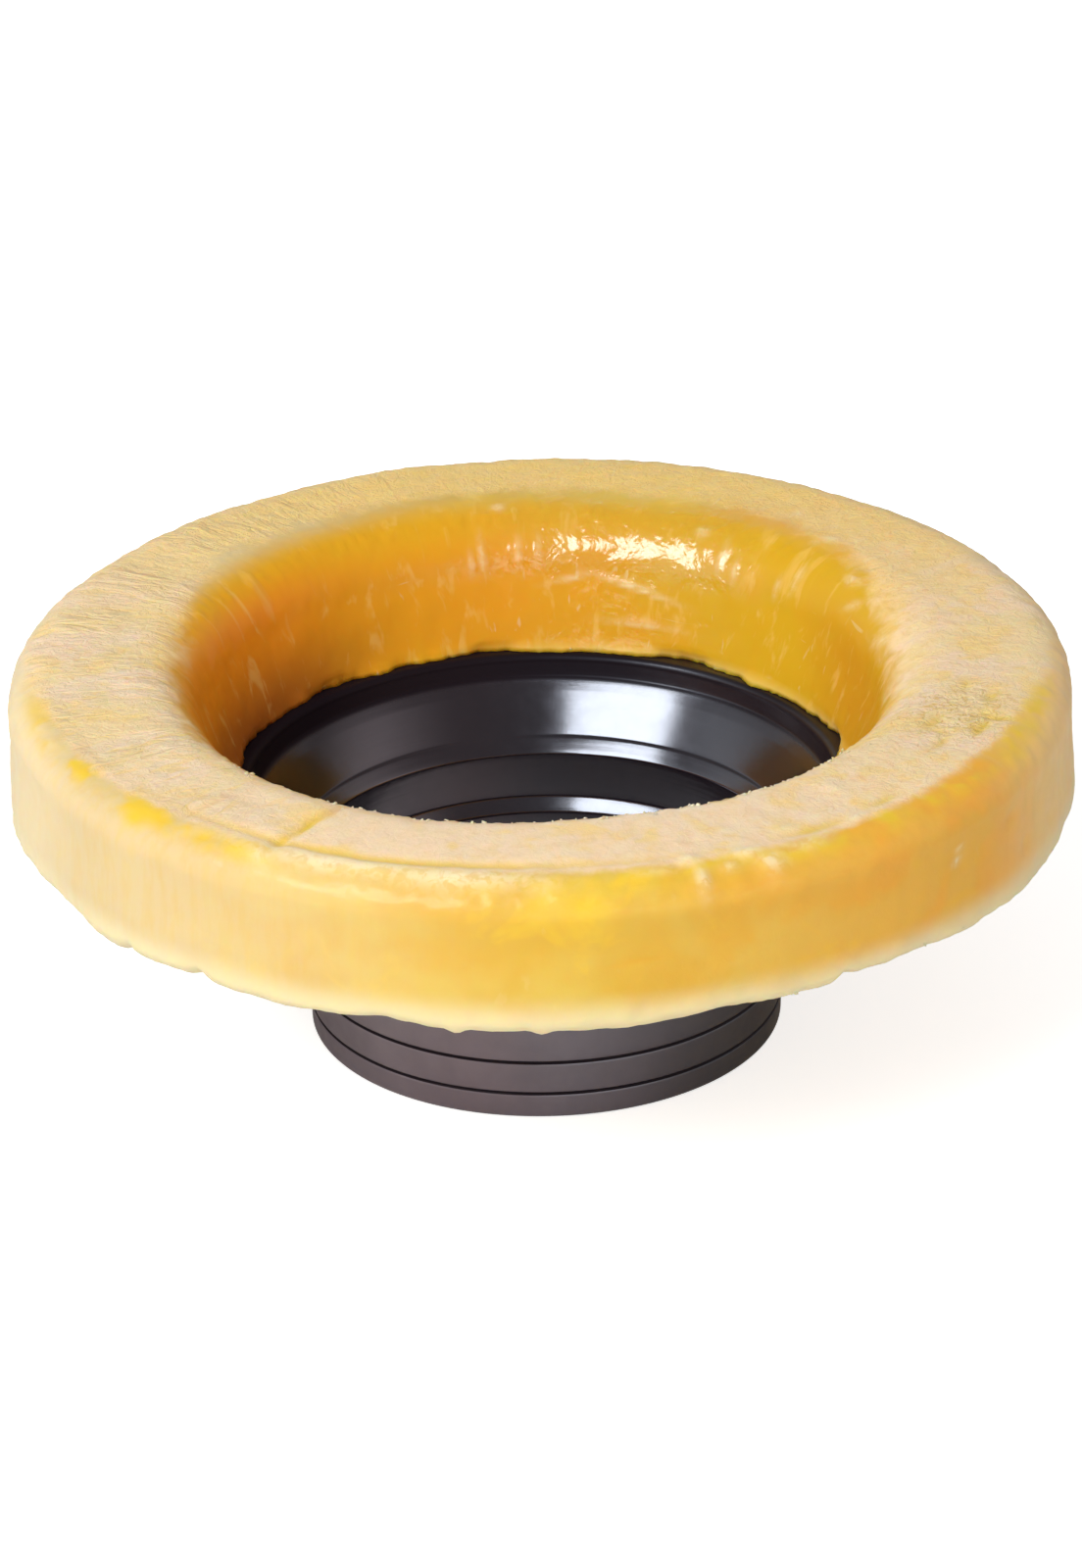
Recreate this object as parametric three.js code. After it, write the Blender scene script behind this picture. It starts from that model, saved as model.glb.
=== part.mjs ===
// Toilet pan seal: a ring of soft wax moulded round the flange of a black plastic horn.
// Millimetres, +Z up. The origin is the centre of the horn's lower rim, which the seal stands on.
// Both pieces are turned shapes, so each one is a closed section (radius, height) spun about +Z.
import * as THREE from 'three';

// Flats that stand for one full turn, and for a quarter turn of each rounded edge
const flatsPerTurn = 72;
const lipFlats = 8;
const cornerFlats = 5;
const smallEdgeFlats = 3;

// Horn: bore of the sleeve at its lower rim, and the wall that the whole horn shares
const sleeveBoreRadius = 29.8;
const hornWall = 1.6;
const rimEdge = 0.4;

// Horn, stage by stage from the rim upwards: how far each one widens, and how far it rises
const sleeveWidening = 0.5;
const sleeveHeight = 14.6;
const shoulderWidening = 1.2;
const shoulderHeight = 1.9;
const throatHeight = 6.4;
const footWidening = 1.5;
const footHeight = 1.8;
const ledgeWidth = 0.3;
const ledgeHeight = 0.1;
const funnelWidening = 3.5;
const funnelHeight = 5.0;
const bevelWidening = 1.1;
const bevelHeight = 1.4;
const grooveWidth = 0.4;
const grooveHeight = 0.3;
const lipWidening = 0.6;
const lipHeight = 1.8;
const lipRound = 1.0;

// Fine lines round the sleeve's outside: height of each above the rim, and their section
const lineHeights = [3.6, 8.2];
const lineWidth = 0.6;
const lineDepth = 0.25;

// Flange: the flat disc at the horn's mouth that the wax grips
const flangeReach = 11.1;
const flangeThickness = 1.0;

// Wax ring: how it grips the flange
const gripClearance = 0.3;
const waxUnderFlange = 0.9;
const bareFlange = 0.5;

// Wax ring: its bore, its lip, its outer edge and its side
const waxWidth = 29.6;
const lipSetback = 13.6;
const waxThickness = 19.5;
const boreLipRadius = 10.0;
const cornerWidth = 5.6;
const cornerHeight = 4.5;
const sideDraft = 0.4;
const sideBelly = 4.0;
const baseEdge = 2.0;

const black = new THREE.MeshStandardMaterial({ color: 0x2b262b, roughness: 0.35, metalness: 0 });
const amber = new THREE.MeshStandardMaterial({ color: 0xe8b450, roughness: 0.4, metalness: 0 });

// The waterway inside the horn, as points (radius, height) from the lower rim up to the flange's top
function waterway() {
  const stages = [
    [sleeveWidening, sleeveHeight],
    [shoulderWidening, shoulderHeight],
    [0, throatHeight],
    [footWidening, footHeight],
    [ledgeWidth, ledgeHeight],
    [funnelWidening, funnelHeight],
    [bevelWidening, bevelHeight],
    [grooveWidth, grooveHeight],
    [lipWidening, lipHeight],
  ];
  const points = [new THREE.Vector2(sleeveBoreRadius, 0)];
  for (const [widening, rise] of stages) {
    const last = points[points.length - 1];
    points.push(new THREE.Vector2(last.x + widening, last.y + rise));
  }
  return points;
}

const bore = waterway();
const [, sleeveTop, shoulderTop, throatTop, , ledgeTop, funnelTop, , , lipTop] = bore;
const mouthRadius = lipTop.x + lipRound;
const flangeTop = lipTop.y + lipRound;
const flangeUnderside = flangeTop - flangeThickness;
const flangeRadius = mouthRadius + flangeReach;
const neckRadius = lipTop.x + hornWall;

// Where the wax meets the horn, and the heights and radii that follow from it
const waxUnderside = flangeUnderside - gripClearance - waxUnderFlange;
const waxTop = waxUnderside + waxThickness;
const waxFootRadius = mouthRadius + bareFlange;
const waxRadius = waxFootRadius + waxWidth;

// Points along a quarter of an ellipse about (x, y), its ends included, from one angle to another
function roundedEdge(x, y, width, height, fromDegrees, toDegrees, flats) {
  const from = THREE.MathUtils.degToRad(fromDegrees);
  const to = THREE.MathUtils.degToRad(toDegrees);
  const points = [];
  for (let step = 0; step <= flats; step++) {
    const angle = from + ((to - from) * step) / flats;
    points.push(new THREE.Vector2(x + width * Math.cos(angle), y + height * Math.sin(angle)));
  }
  return points;
}

// The sleeve's outer radius at a height above the rim, which widens as its bore does
function sleeveOuterRadius(height) {
  return sleeveBoreRadius + hornWall + (sleeveWidening * height) / sleeveHeight;
}

// The outside of the horn between two of the bore's points stands one wall away from the bore
function outside(borePoint) {
  return new THREE.Vector2(borePoint.x + hornWall, borePoint.y);
}

// One fine line round the sleeve, a shallow notch with its point inwards, listed downwards
function lineNotch(height) {
  const top = height + lineWidth / 2;
  const bottom = height - lineWidth / 2;
  return [
    new THREE.Vector2(sleeveOuterRadius(top), top),
    new THREE.Vector2(sleeveOuterRadius(height) - lineDepth, height),
    new THREE.Vector2(sleeveOuterRadius(bottom), bottom),
  ];
}

// The horn's section: up the waterway, over the lip, out along the flange, and down the outside
function hornSection() {
  const lip = roundedEdge(mouthRadius, lipTop.y, lipRound, lipRound, 180, 90, smallEdgeFlats);
  const notchesDownwards = [...lineHeights].sort((a, b) => b - a).flatMap(lineNotch);
  return [
    ...bore.slice(0, -1),
    ...lip,
    new THREE.Vector2(flangeRadius, flangeTop),
    new THREE.Vector2(flangeRadius, flangeUnderside),
    new THREE.Vector2(neckRadius, flangeUnderside),
    outside(funnelTop),
    outside(ledgeTop),
    outside(throatTop),
    outside(shoulderTop),
    outside(sleeveTop),
    ...notchesDownwards,
    new THREE.Vector2(sleeveOuterRadius(rimEdge), rimEdge),
    new THREE.Vector2(sleeveOuterRadius(0) - rimEdge, 0),
  ];
}

// How steeply the bore's wall rises from the foot, in degrees, to meet the lip's round smoothly
function wallRise(foot, lipCentre) {
  const across = lipCentre.x - foot.x;
  const up = lipCentre.y - foot.y;
  const rise = Math.atan2(up, across) + Math.asin(boreLipRadius / Math.hypot(across, up));
  return THREE.MathUtils.radToDeg(rise);
}

// The wax ring's section: up the bore, over the lip and the flat top, down the side, in along
// the underside, and round the groove that holds the flange
function waxSection() {
  const grooveTop = flangeTop + gripClearance;
  const grooveFloor = flangeUnderside - gripClearance;
  const grooveDepth = flangeRadius + gripClearance;
  const lowerLipRadius = neckRadius + gripClearance;
  const cornerRadius = waxRadius - sideDraft;
  const lipCentre = new THREE.Vector2(waxFootRadius + lipSetback, waxTop - boreLipRadius);
  const cornerCentre = new THREE.Vector2(cornerRadius - cornerWidth, waxTop - cornerHeight);
  const baseCentre = new THREE.Vector2(waxRadius - baseEdge, waxUnderside + baseEdge);
  const foot = new THREE.Vector2(waxFootRadius, grooveTop);
  const lipStart = 90 + wallRise(foot, lipCentre);
  const lip = roundedEdge(
    lipCentre.x, lipCentre.y, boreLipRadius, boreLipRadius, lipStart, 90, lipFlats);
  const corner = roundedEdge(
    cornerCentre.x, cornerCentre.y, cornerWidth, cornerHeight, 90, 0, cornerFlats);
  const base = roundedEdge(baseCentre.x, baseCentre.y, baseEdge, baseEdge, 0, -90, smallEdgeFlats);
  return [
    foot,
    ...lip,
    ...corner,
    new THREE.Vector2(waxRadius, baseCentre.y + sideBelly),
    ...base,
    new THREE.Vector2(lowerLipRadius, waxUnderside),
    new THREE.Vector2(lowerLipRadius, grooveFloor),
    new THREE.Vector2(grooveDepth, grooveFloor),
    new THREE.Vector2(grooveDepth, grooveTop),
  ];
}

// Spins a section about +Z. It is closed on its first point and run backwards, so that faces point out
function turned(name, section, material) {
  const loop = [...section, section[0]].reverse();
  const geometry = new THREE.LatheGeometry(loop, flatsPerTurn);
  geometry.rotateX(Math.PI / 2);
  const mesh = new THREE.Mesh(geometry, material);
  mesh.name = name;
  return mesh;
}

const seal = new THREE.Group();
seal.add(turned('horn', hornSection(), black));
seal.add(turned('wax_ring', waxSection(), amber));

export default seal;
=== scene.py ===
"""Toilet pan seal: an amber wax ring moulded round the flange of a black plastic horn.

Both pieces are turned shapes. Each one is an outline (radius, height) that Geometry Nodes spin
about +Z, and the wax is then swollen, puckered and frayed as soft wax is. Sizes are in metres, and
the patterns of the finishes and the marks pressed into the wax are in millimetres.
"""

import logging
import math
from dataclasses import dataclass, field
from enum import Enum
from functools import partial, reduce
from typing import Any, Callable, Iterable

import bpy
import numpy as np
from mathutils import Matrix, Vector


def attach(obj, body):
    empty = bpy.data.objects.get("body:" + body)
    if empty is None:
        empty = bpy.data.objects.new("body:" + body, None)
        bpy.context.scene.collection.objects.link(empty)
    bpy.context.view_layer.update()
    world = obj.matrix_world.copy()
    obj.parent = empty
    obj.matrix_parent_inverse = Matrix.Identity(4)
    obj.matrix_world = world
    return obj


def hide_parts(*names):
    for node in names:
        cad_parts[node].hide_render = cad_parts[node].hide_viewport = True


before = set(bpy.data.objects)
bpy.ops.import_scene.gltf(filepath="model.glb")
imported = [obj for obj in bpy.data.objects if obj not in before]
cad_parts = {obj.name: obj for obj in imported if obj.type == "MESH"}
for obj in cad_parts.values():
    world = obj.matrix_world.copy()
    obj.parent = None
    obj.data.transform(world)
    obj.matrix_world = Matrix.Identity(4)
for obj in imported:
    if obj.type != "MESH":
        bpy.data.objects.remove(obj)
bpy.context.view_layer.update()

LOG = logging.getLogger("pan_seal")
MM = 0.001
TINY = 1e-7
BODY = "root"

# How far apart in space the patterns of neighbouring seeds are taken
SEED_STEP = (31.7, 17.3, 57.1)

Point = tuple[float, float]
Colour = tuple[float, float, float]
Socket = bpy.types.NodeSocket
Inputs = dict[int | str, Any]
Rule = Callable[[float, float], float]


class Slot(Enum):
    """The record's material slots."""

    WAX = "wax"
    HORN = "horn_plastic"


class Share(Enum):
    """What a point is part of, each as a share from 0 to 1 that rides on the mesh."""

    GIVE = "give"
    FOOT = "foot"
    HEM = "hem"
    LIP = "lip"
    CROWN = "crown"
    RAW = "raw"
    BLOOM = "bloom"
    EDGE = "edge"
    BORE = "bore"
    LINE = "line"
    # A pale tint: real crumbs, and painted highlights and glints on the upper edge, the flecks and the
    # bore's streaks.
    CRUMB_AND_GLINT = "crumb"
    YOLK = "yolk"
    SHADE = "shade"


def smooth_step(low: float, high: float, value: float) -> float:
    """Returns 0 below low, 1 above high, and a smooth rise between them."""
    share = min(1.0, max(0.0, (value - low) / (high - low)))
    return share * share * (3.0 - 2.0 * share)


def near(here: Point, spot: Point, full: float, none: float) -> float:
    """Returns 1 within one distance of a spot, 0 beyond another, and a smooth fall between them."""
    return 1.0 - smooth_step(full, none, math.dist(here, spot))


class NodeTree:
    """Adds nodes to one shader or geometry node tree and joins them up."""

    def __init__(self, tree: bpy.types.NodeTree) -> None:
        """Wraps the tree that the nodes go into."""
        self.tree = tree

    def add(self, kind: str, inputs: Inputs | None = None, **settings: Any) -> bpy.types.Node:
        """Adds one node.

        Args:
            kind: the node's type name.
            inputs: what goes into its sockets, by index or name: a value, or another node's output.
            settings: the node's own properties, such as its operation.

        Returns:
            The new node.
        """
        node = self.tree.nodes.new(kind)
        for name, value in settings.items():
            setattr(node, name, value)
        for key, value in (inputs or {}).items():
            self.feed(node.inputs[key], value)
        return node

    def feed(self, socket: Socket, value: Any) -> None:
        """Links an output to a socket, or sets the socket's own value.

        Args:
            socket: the input socket.
            value: an output socket or a plain value.
        """
        if isinstance(value, bpy.types.NodeSocket):
            self.tree.links.new(value, socket)
        else:
            socket.default_value = value

    def math(self, operation: str, *values: Any) -> Socket:
        """Adds a Math node, and returns its output."""
        return self.add("ShaderNodeMath", dict(enumerate(values)), operation=operation).outputs[0]

    def times(self, *values: Any) -> Socket:
        """Returns the product of its values."""
        return reduce(partial(self.math, "MULTIPLY"), values)

    def plus(self, *values: Any) -> Socket:
        """Returns the sum of its values."""
        return reduce(partial(self.math, "ADD"), values)

    def minus(self, first: Any, second: Any) -> Socket:
        """Returns the first value less the second."""
        return self.math("SUBTRACT", first, second)

    def greatest(self, *values: Any) -> Socket:
        """Returns the greatest of its values."""
        return reduce(partial(self.math, "MAXIMUM"), values)

    def mix(self, factor: Any, first: Any, second: Any) -> Socket:
        """Returns a mix of two numbers."""
        return self.add("ShaderNodeMix", {0: factor, 2: first, 3: second}).outputs[0]

    def vector(self, operation: str, *values: Any) -> Socket:
        """Adds a Vector Math node, and returns its vector, or its number for a LENGTH."""
        node = self.add("ShaderNodeVectorMath", dict(enumerate(values)), operation=operation)
        return node.outputs["Value" if operation == "LENGTH" else "Vector"]

    def scaled(self, vector: Any, by: Any) -> Socket:
        """Returns a vector times a number."""
        node = self.add("ShaderNodeVectorMath", {0: vector, "Scale": by}, operation="SCALE")
        return node.outputs["Vector"]

    def noise(self, where: Socket, per_mm: float, detail: float = 2.0, rough: float = 0.5,
              warp: float = 0.0, seed: Any = 0.0) -> Socket:
        """Adds a noise pattern, from 0 to 1 with most of it near a half.

        Args:
            where: the coordinates, in millimetres.
            per_mm: how many cells there are to a millimetre.
            detail: how many finer layers it has.
            rough: how strong the finer layers are.
            warp: how far the pattern is bent by itself.
            seed: which of many like patterns it is.

        Returns:
            The pattern's value.
        """
        moved = self.vector("ADD", where, self.scaled(SEED_STEP, seed))
        inputs = {"Vector": moved, "Scale": per_mm, "Detail": detail, "Roughness": rough, "Distortion": warp}
        return self.add("ShaderNodeTexNoise", inputs).outputs[0]

    def band(self, value: Any, low: float, high: float, to_low: float = 0.0, to_high: float = 1.0) -> Socket:
        """Adds a smooth change of a value from one range to another.

        Args:
            value: what is mapped.
            low: where the change starts.
            high: where it ends.
            to_low: the result below low.
            to_high: the result above high.

        Returns:
            The mapped value.
        """
        inputs = {0: value, 1: low, 2: high, 3: to_low, 4: to_high}
        return self.add("ShaderNodeMapRange", inputs, interpolation_type="SMOOTHSTEP").outputs[0]


class GeometryTree(NodeTree):
    """A Geometry Nodes tree with named inputs, for one piece."""

    def __init__(self, name: str) -> None:
        """Starts the tree, with geometry in and out.

        Args:
            name: the tree's name.
        """
        super().__init__(bpy.data.node_groups.new(name, "GeometryNodeTree"))
        for way in ("INPUT", "OUTPUT"):
            self.tree.interface.new_socket("Geometry", in_out=way, socket_type="NodeSocketGeometry")
        self.given = self.add("NodeGroupInput")
        self.result = self.add("NodeGroupOutput")
        self.values: dict[str, Any] = {}
        self.position = self.add("GeometryNodeInputPosition").outputs[0]
        self.normal = self.add("GeometryNodeInputNormal").outputs[0]
        self.where = self.scaled(self.position, 1.0 / MM)

    def named_input(self, name: str, kind: str, value: Any) -> Socket:
        """Adds a named input.

        Args:
            name: what the input is called.
            kind: its socket type.
            value: what the modifier sets it to.

        Returns:
            The output of the group's input node.
        """
        socket = self.tree.interface.new_socket(name, in_out="INPUT", socket_type=kind)
        self.values[socket.identifier] = value
        return self.given.outputs[name]

    def attribute(self, share: Share) -> Socket:
        """Returns the value of a share that the geometry carries."""
        return self.add("GeometryNodeInputNamedAttribute", {"Name": share.value}).outputs[0]

    def swing(self, where: Socket, per_mm: float, detail: float, seed: Any, reach: Any) -> Socket:
        """Returns a noise that swings about nothing, as far as its reach to either side."""
        pattern = self.noise(where, per_mm, detail, 0.55, seed=seed)
        return self.times(self.minus(pattern, 0.5), self.times(reach, 2.5))

    def finish(self, geometry: Socket, material: bpy.types.Material) -> None:
        """Ends the tree: makes instances real and sets the material.

        Args:
            geometry: the geometry so far.
            material: the piece's material.
        """
        finish = self.named_input("Finish", "NodeSocketMaterial", material)
        smooth = self.add("GeometryNodeSetShadeSmooth", {"Geometry": geometry}).outputs[0]
        real = self.add("GeometryNodeRealizeInstances", {"Geometry": smooth}).outputs[0]
        dressed = self.add("GeometryNodeSetMaterial", {"Geometry": real, "Material": finish}).outputs[0]
        self.feed(self.result.inputs[0], dressed)

    def run(self, start: bpy.types.Mesh, name: str) -> bpy.types.Object:
        """Runs the tree on a mesh and keeps the result as a plain mesh.

        Args:
            start: the mesh that goes in.
            name: the piece's name.

        Returns:
            The finished object, at the origin, with no modifier.
        """
        source = bpy.data.objects.new(name + "_start", start)
        bpy.context.scene.collection.objects.link(source)
        modifier = source.modifiers.new("shape", "NODES")
        modifier.node_group = self.tree
        for identifier, value in self.values.items():
            modifier[identifier] = value
        evaluated = source.evaluated_get(bpy.context.evaluated_depsgraph_get())
        mesh = bpy.data.meshes.new_from_object(evaluated)
        source.modifiers.remove(modifier)
        bpy.data.objects.remove(source)
        mesh.name = name
        piece = bpy.data.objects.new(name, mesh)
        bpy.context.scene.collection.objects.link(piece)
        return piece


class Outline:
    """A closed outline (radius, height), drawn stretch by stretch with even steps."""

    def __init__(self) -> None:
        """Starts with no points."""
        self.points: list[Point] = []

    def line(self, end: Point, step: float) -> None:
        """Draws a straight stretch to a point.

        Args:
            end: where it ends.
            step: about how far apart its points are.
        """
        if not self.points:
            self.points.append(end)
        start = self.points[-1]
        length = math.dist(start, end)
        count = max(1, round(length / step)) if length > TINY else 0
        for number in range(1, count + 1):
            share = number / count
            self.points.append(tuple(a + (b - a) * share for a, b in zip(start, end)))

    def arc(self, centre: Point, size: Point, angles: Point, step: float) -> None:
        """Draws part of an ellipse.

        Args:
            centre: its centre.
            size: its half width and half height.
            angles: where it starts and ends, in degrees.
            step: about how far apart its points are.
        """
        start, end = (math.radians(angle) for angle in angles)
        count = max(2, round(abs(end - start) * max(size) / step))
        for number in range(count + 1):
            angle = start + (end - start) * number / count
            point = (centre[0] + size[0] * math.cos(angle), centre[1] + size[1] * math.sin(angle))
            if number == 0:
                self.line(point, step)
            else:
                self.points.append(point)

    def bend(self, control: Point, end: Point, step: float) -> None:
        """Draws a curve that leaves towards a control point and arrives from it.

        Args:
            control: the point that the curve leans towards.
            end: where it ends.
            step: about how far apart its points are.
        """
        start = self.points[-1]
        count = max(2, round(math.dist(start, end) / step))
        for number in range(1, count + 1):
            share = number / count
            weights = ((1 - share) ** 2, 2 * share * (1 - share), share ** 2)
            self.points.append(tuple(
                sum(w * p[axis] for w, p in zip(weights, (start, control, end))) for axis in (0, 1)))

    def mesh(self, name: str, shares: dict[Share, Rule]) -> bpy.types.Mesh:
        """Turns the outline into a mesh of points that carry their shares.

        Args:
            name: the mesh's name.
            shares: how each share follows from a point's radius and height.

        Returns:
            The mesh, which lies in the plane of +X and +Z.
        """
        made = bpy.data.meshes.new(name)
        made.from_pydata([(r, 0.0, z) for r, z in self.points], [], [])
        for share, rule in shares.items():
            values = np.array([rule(r, z) for r, z in self.points], np.float32)
            made.attributes.new(share.value, "FLOAT", "POINT").data.foreach_set("value", values)
        return made


class SpinTree(GeometryTree):
    """Spins an outline about +Z into a closed skin that keeps the outline's shares."""

    def __init__(self, name: str, flats: int, shares: Iterable[Share]) -> None:
        """Builds the spinning part of the tree.

        Args:
            name: the tree's name.
            flats: how many flats make one turn.
            shares: which shares the skin keeps.
        """
        super().__init__(name)
        turns = self.named_input("Flats", "NodeSocketInt", flats)
        outline = self.given.outputs["Geometry"]
        rows = self.add("GeometryNodeAttributeDomainSize", {0: outline}).outputs["Point Count"]
        rows_closed = self.plus(rows, 1)
        counts = {"Vertices X": self.plus(turns, 1), "Vertices Y": rows_closed}
        skin = self.add("GeometryNodeMeshGrid", counts).outputs["Mesh"]
        index = self.add("GeometryNodeInputIndex").outputs[0]
        column = self.math("FLOOR", self.math("DIVIDE", self.plus(index, 0.5), rows_closed))
        row_in_column = self.minus(index, self.times(column, rows_closed))
        row = self.math("FLOOR", self.plus(self.math("FLOORED_MODULO", row_in_column, rows), 0.5))
        angle = self.math("DIVIDE", self.times(column, -math.tau), turns)
        place = self.sample(self.position, row, "FLOAT_VECTOR")
        turned = self.add("ShaderNodeVectorRotate", {"Vector": place, "Angle": angle},
                          rotation_type="Z_AXIS")
        for share in shares:
            value = self.sample(self.attribute(share), row, "FLOAT")
            store = {"Geometry": skin, "Name": share.value, "Value": value}
            skin = self.add("GeometryNodeStoreNamedAttribute", store).outputs[0]
        placed = self.add("GeometryNodeSetPosition", {"Geometry": skin, "Position": turned.outputs[0]})
        merged = self.add("GeometryNodeMergeByDistance", {"Geometry": placed.outputs[0], "Distance": TINY})
        self.skin = merged.outputs[0]

    def sample(self, value: Socket, index: Socket, kind: str) -> Socket:
        """Returns a value of a data type, read at one point of the outline."""
        inputs = {"Geometry": self.given.outputs["Geometry"], "Value": value, "Index": index}
        return self.add("GeometryNodeSampleIndex", inputs, data_type=kind, domain="POINT").outputs[0]

    def move(self, way: Socket, amount: Socket) -> None:
        """Moves the skin's points along a direction by an amount."""
        inputs = {"Geometry": self.skin, "Offset": self.scaled(way, amount)}
        self.skin = self.add("GeometryNodeSetPosition", inputs).outputs[0]


class ShaderTree(NodeTree):
    """The node tree of a material or of the world, emptied first."""

    def __init__(self, owner: bpy.types.Material | bpy.types.World) -> None:
        """Empties the tree.

        Args:
            owner: the material or the world.
        """
        owner.use_nodes = True
        super().__init__(owner.node_tree)
        self.owner = owner
        self.tree.nodes.clear()


class FinishTree(ShaderTree):
    """The tree of a piece's material: where its points are, and one Principled shader."""

    def __init__(self, name: str) -> None:
        """Starts the material.

        Args:
            name: the material's name.
        """
        super().__init__(bpy.data.materials.new(name))
        self.shader = self.add("ShaderNodeBsdfPrincipled")
        self.add("ShaderNodeOutputMaterial", {"Surface": self.shader.outputs[0]})
        self.where = self.scaled(self.add("ShaderNodeTexCoord").outputs["Object"], 1.0 / MM)
        self.x, _, self.z = self.add("ShaderNodeSeparateXYZ", {0: self.where}).outputs
        self.bore = self.share(Share.BORE)

    def share(self, share: Share) -> Socket:
        """Returns a share that the piece's mesh carries."""
        return self.add("ShaderNodeAttribute", attribute_name=share.value).outputs["Fac"]

    def coats(self, body: Any, *coats: tuple[Any, Any]) -> Socket:
        """Lays colours over a colour, one after the other.

        Args:
            body: the colour below, or an output.
            coats: how much of each coat there is, and its colour or an output.

        Returns:
            The colour that shows.
        """
        for factor, colour in coats:
            node = self.add("ShaderNodeMix", {0: factor}, data_type="RGBA")
            for socket, value in ((node.inputs[6], body), (node.inputs[7], colour)):
                self.feed(socket, (*value, 1.0) if isinstance(value, tuple) else value)
            body = node.outputs[2]
        return body

    def bump(self, strength: Any, depth: float, height: Socket) -> Socket:
        """Returns the normal of a relief, whose depth is in millimetres."""
        inputs = {"Strength": strength, "Distance": depth * MM, "Height": height}
        return self.add("ShaderNodeBump", inputs).outputs[0]

    def done(self, inputs: dict[str, Any]) -> bpy.types.Material:
        """Feeds the shader.

        Args:
            inputs: what goes into its sockets, by name.

        Returns:
            The finished material.
        """
        for name, value in inputs.items():
            self.feed(self.shader.inputs[name], value)
        return self.owner


class WaxTree(FinishTree):
    """The tree of the wax's material, which also knows how a point lies on the ring."""

    def __init__(self, name: str) -> None:
        """Works out how a point lies on the ring.

        Args:
            name: the material's name.
        """
        super().__init__(name)
        flat = self.vector("MULTIPLY", self.where, (1.0, 1.0, 0.0))
        self.radius = self.vector("LENGTH", flat)
        self.outward = self.vector("NORMALIZE", flat)
        self.east, self.north, _ = self.add("ShaderNodeSeparateXYZ", {0: self.outward}).outputs
        self.fall = self.minus(self.radius, self.z)
        self.wrinkles = self.noise(self.ringed(self.fall, 0.30), 0.50, 3.0, 0.6, 0.9, seed=5.0)

    def ringed(self, depth: Socket, along: float, reach: float = 57.0) -> Socket:
        """Builds coordinates that follow the ring.

        Args:
            depth: what they follow across the ring: a radius, a height, or the two together.
            along: the rate at which they follow it.
            reach: the radius at which they keep their length round the ring.

        Returns:
            The coordinates, in millimetres.
        """
        across = self.add("ShaderNodeCombineXYZ", {2: self.times(depth, along)}).outputs[0]
        return self.vector("ADD", self.scaled(self.outward, reach), across)


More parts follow.
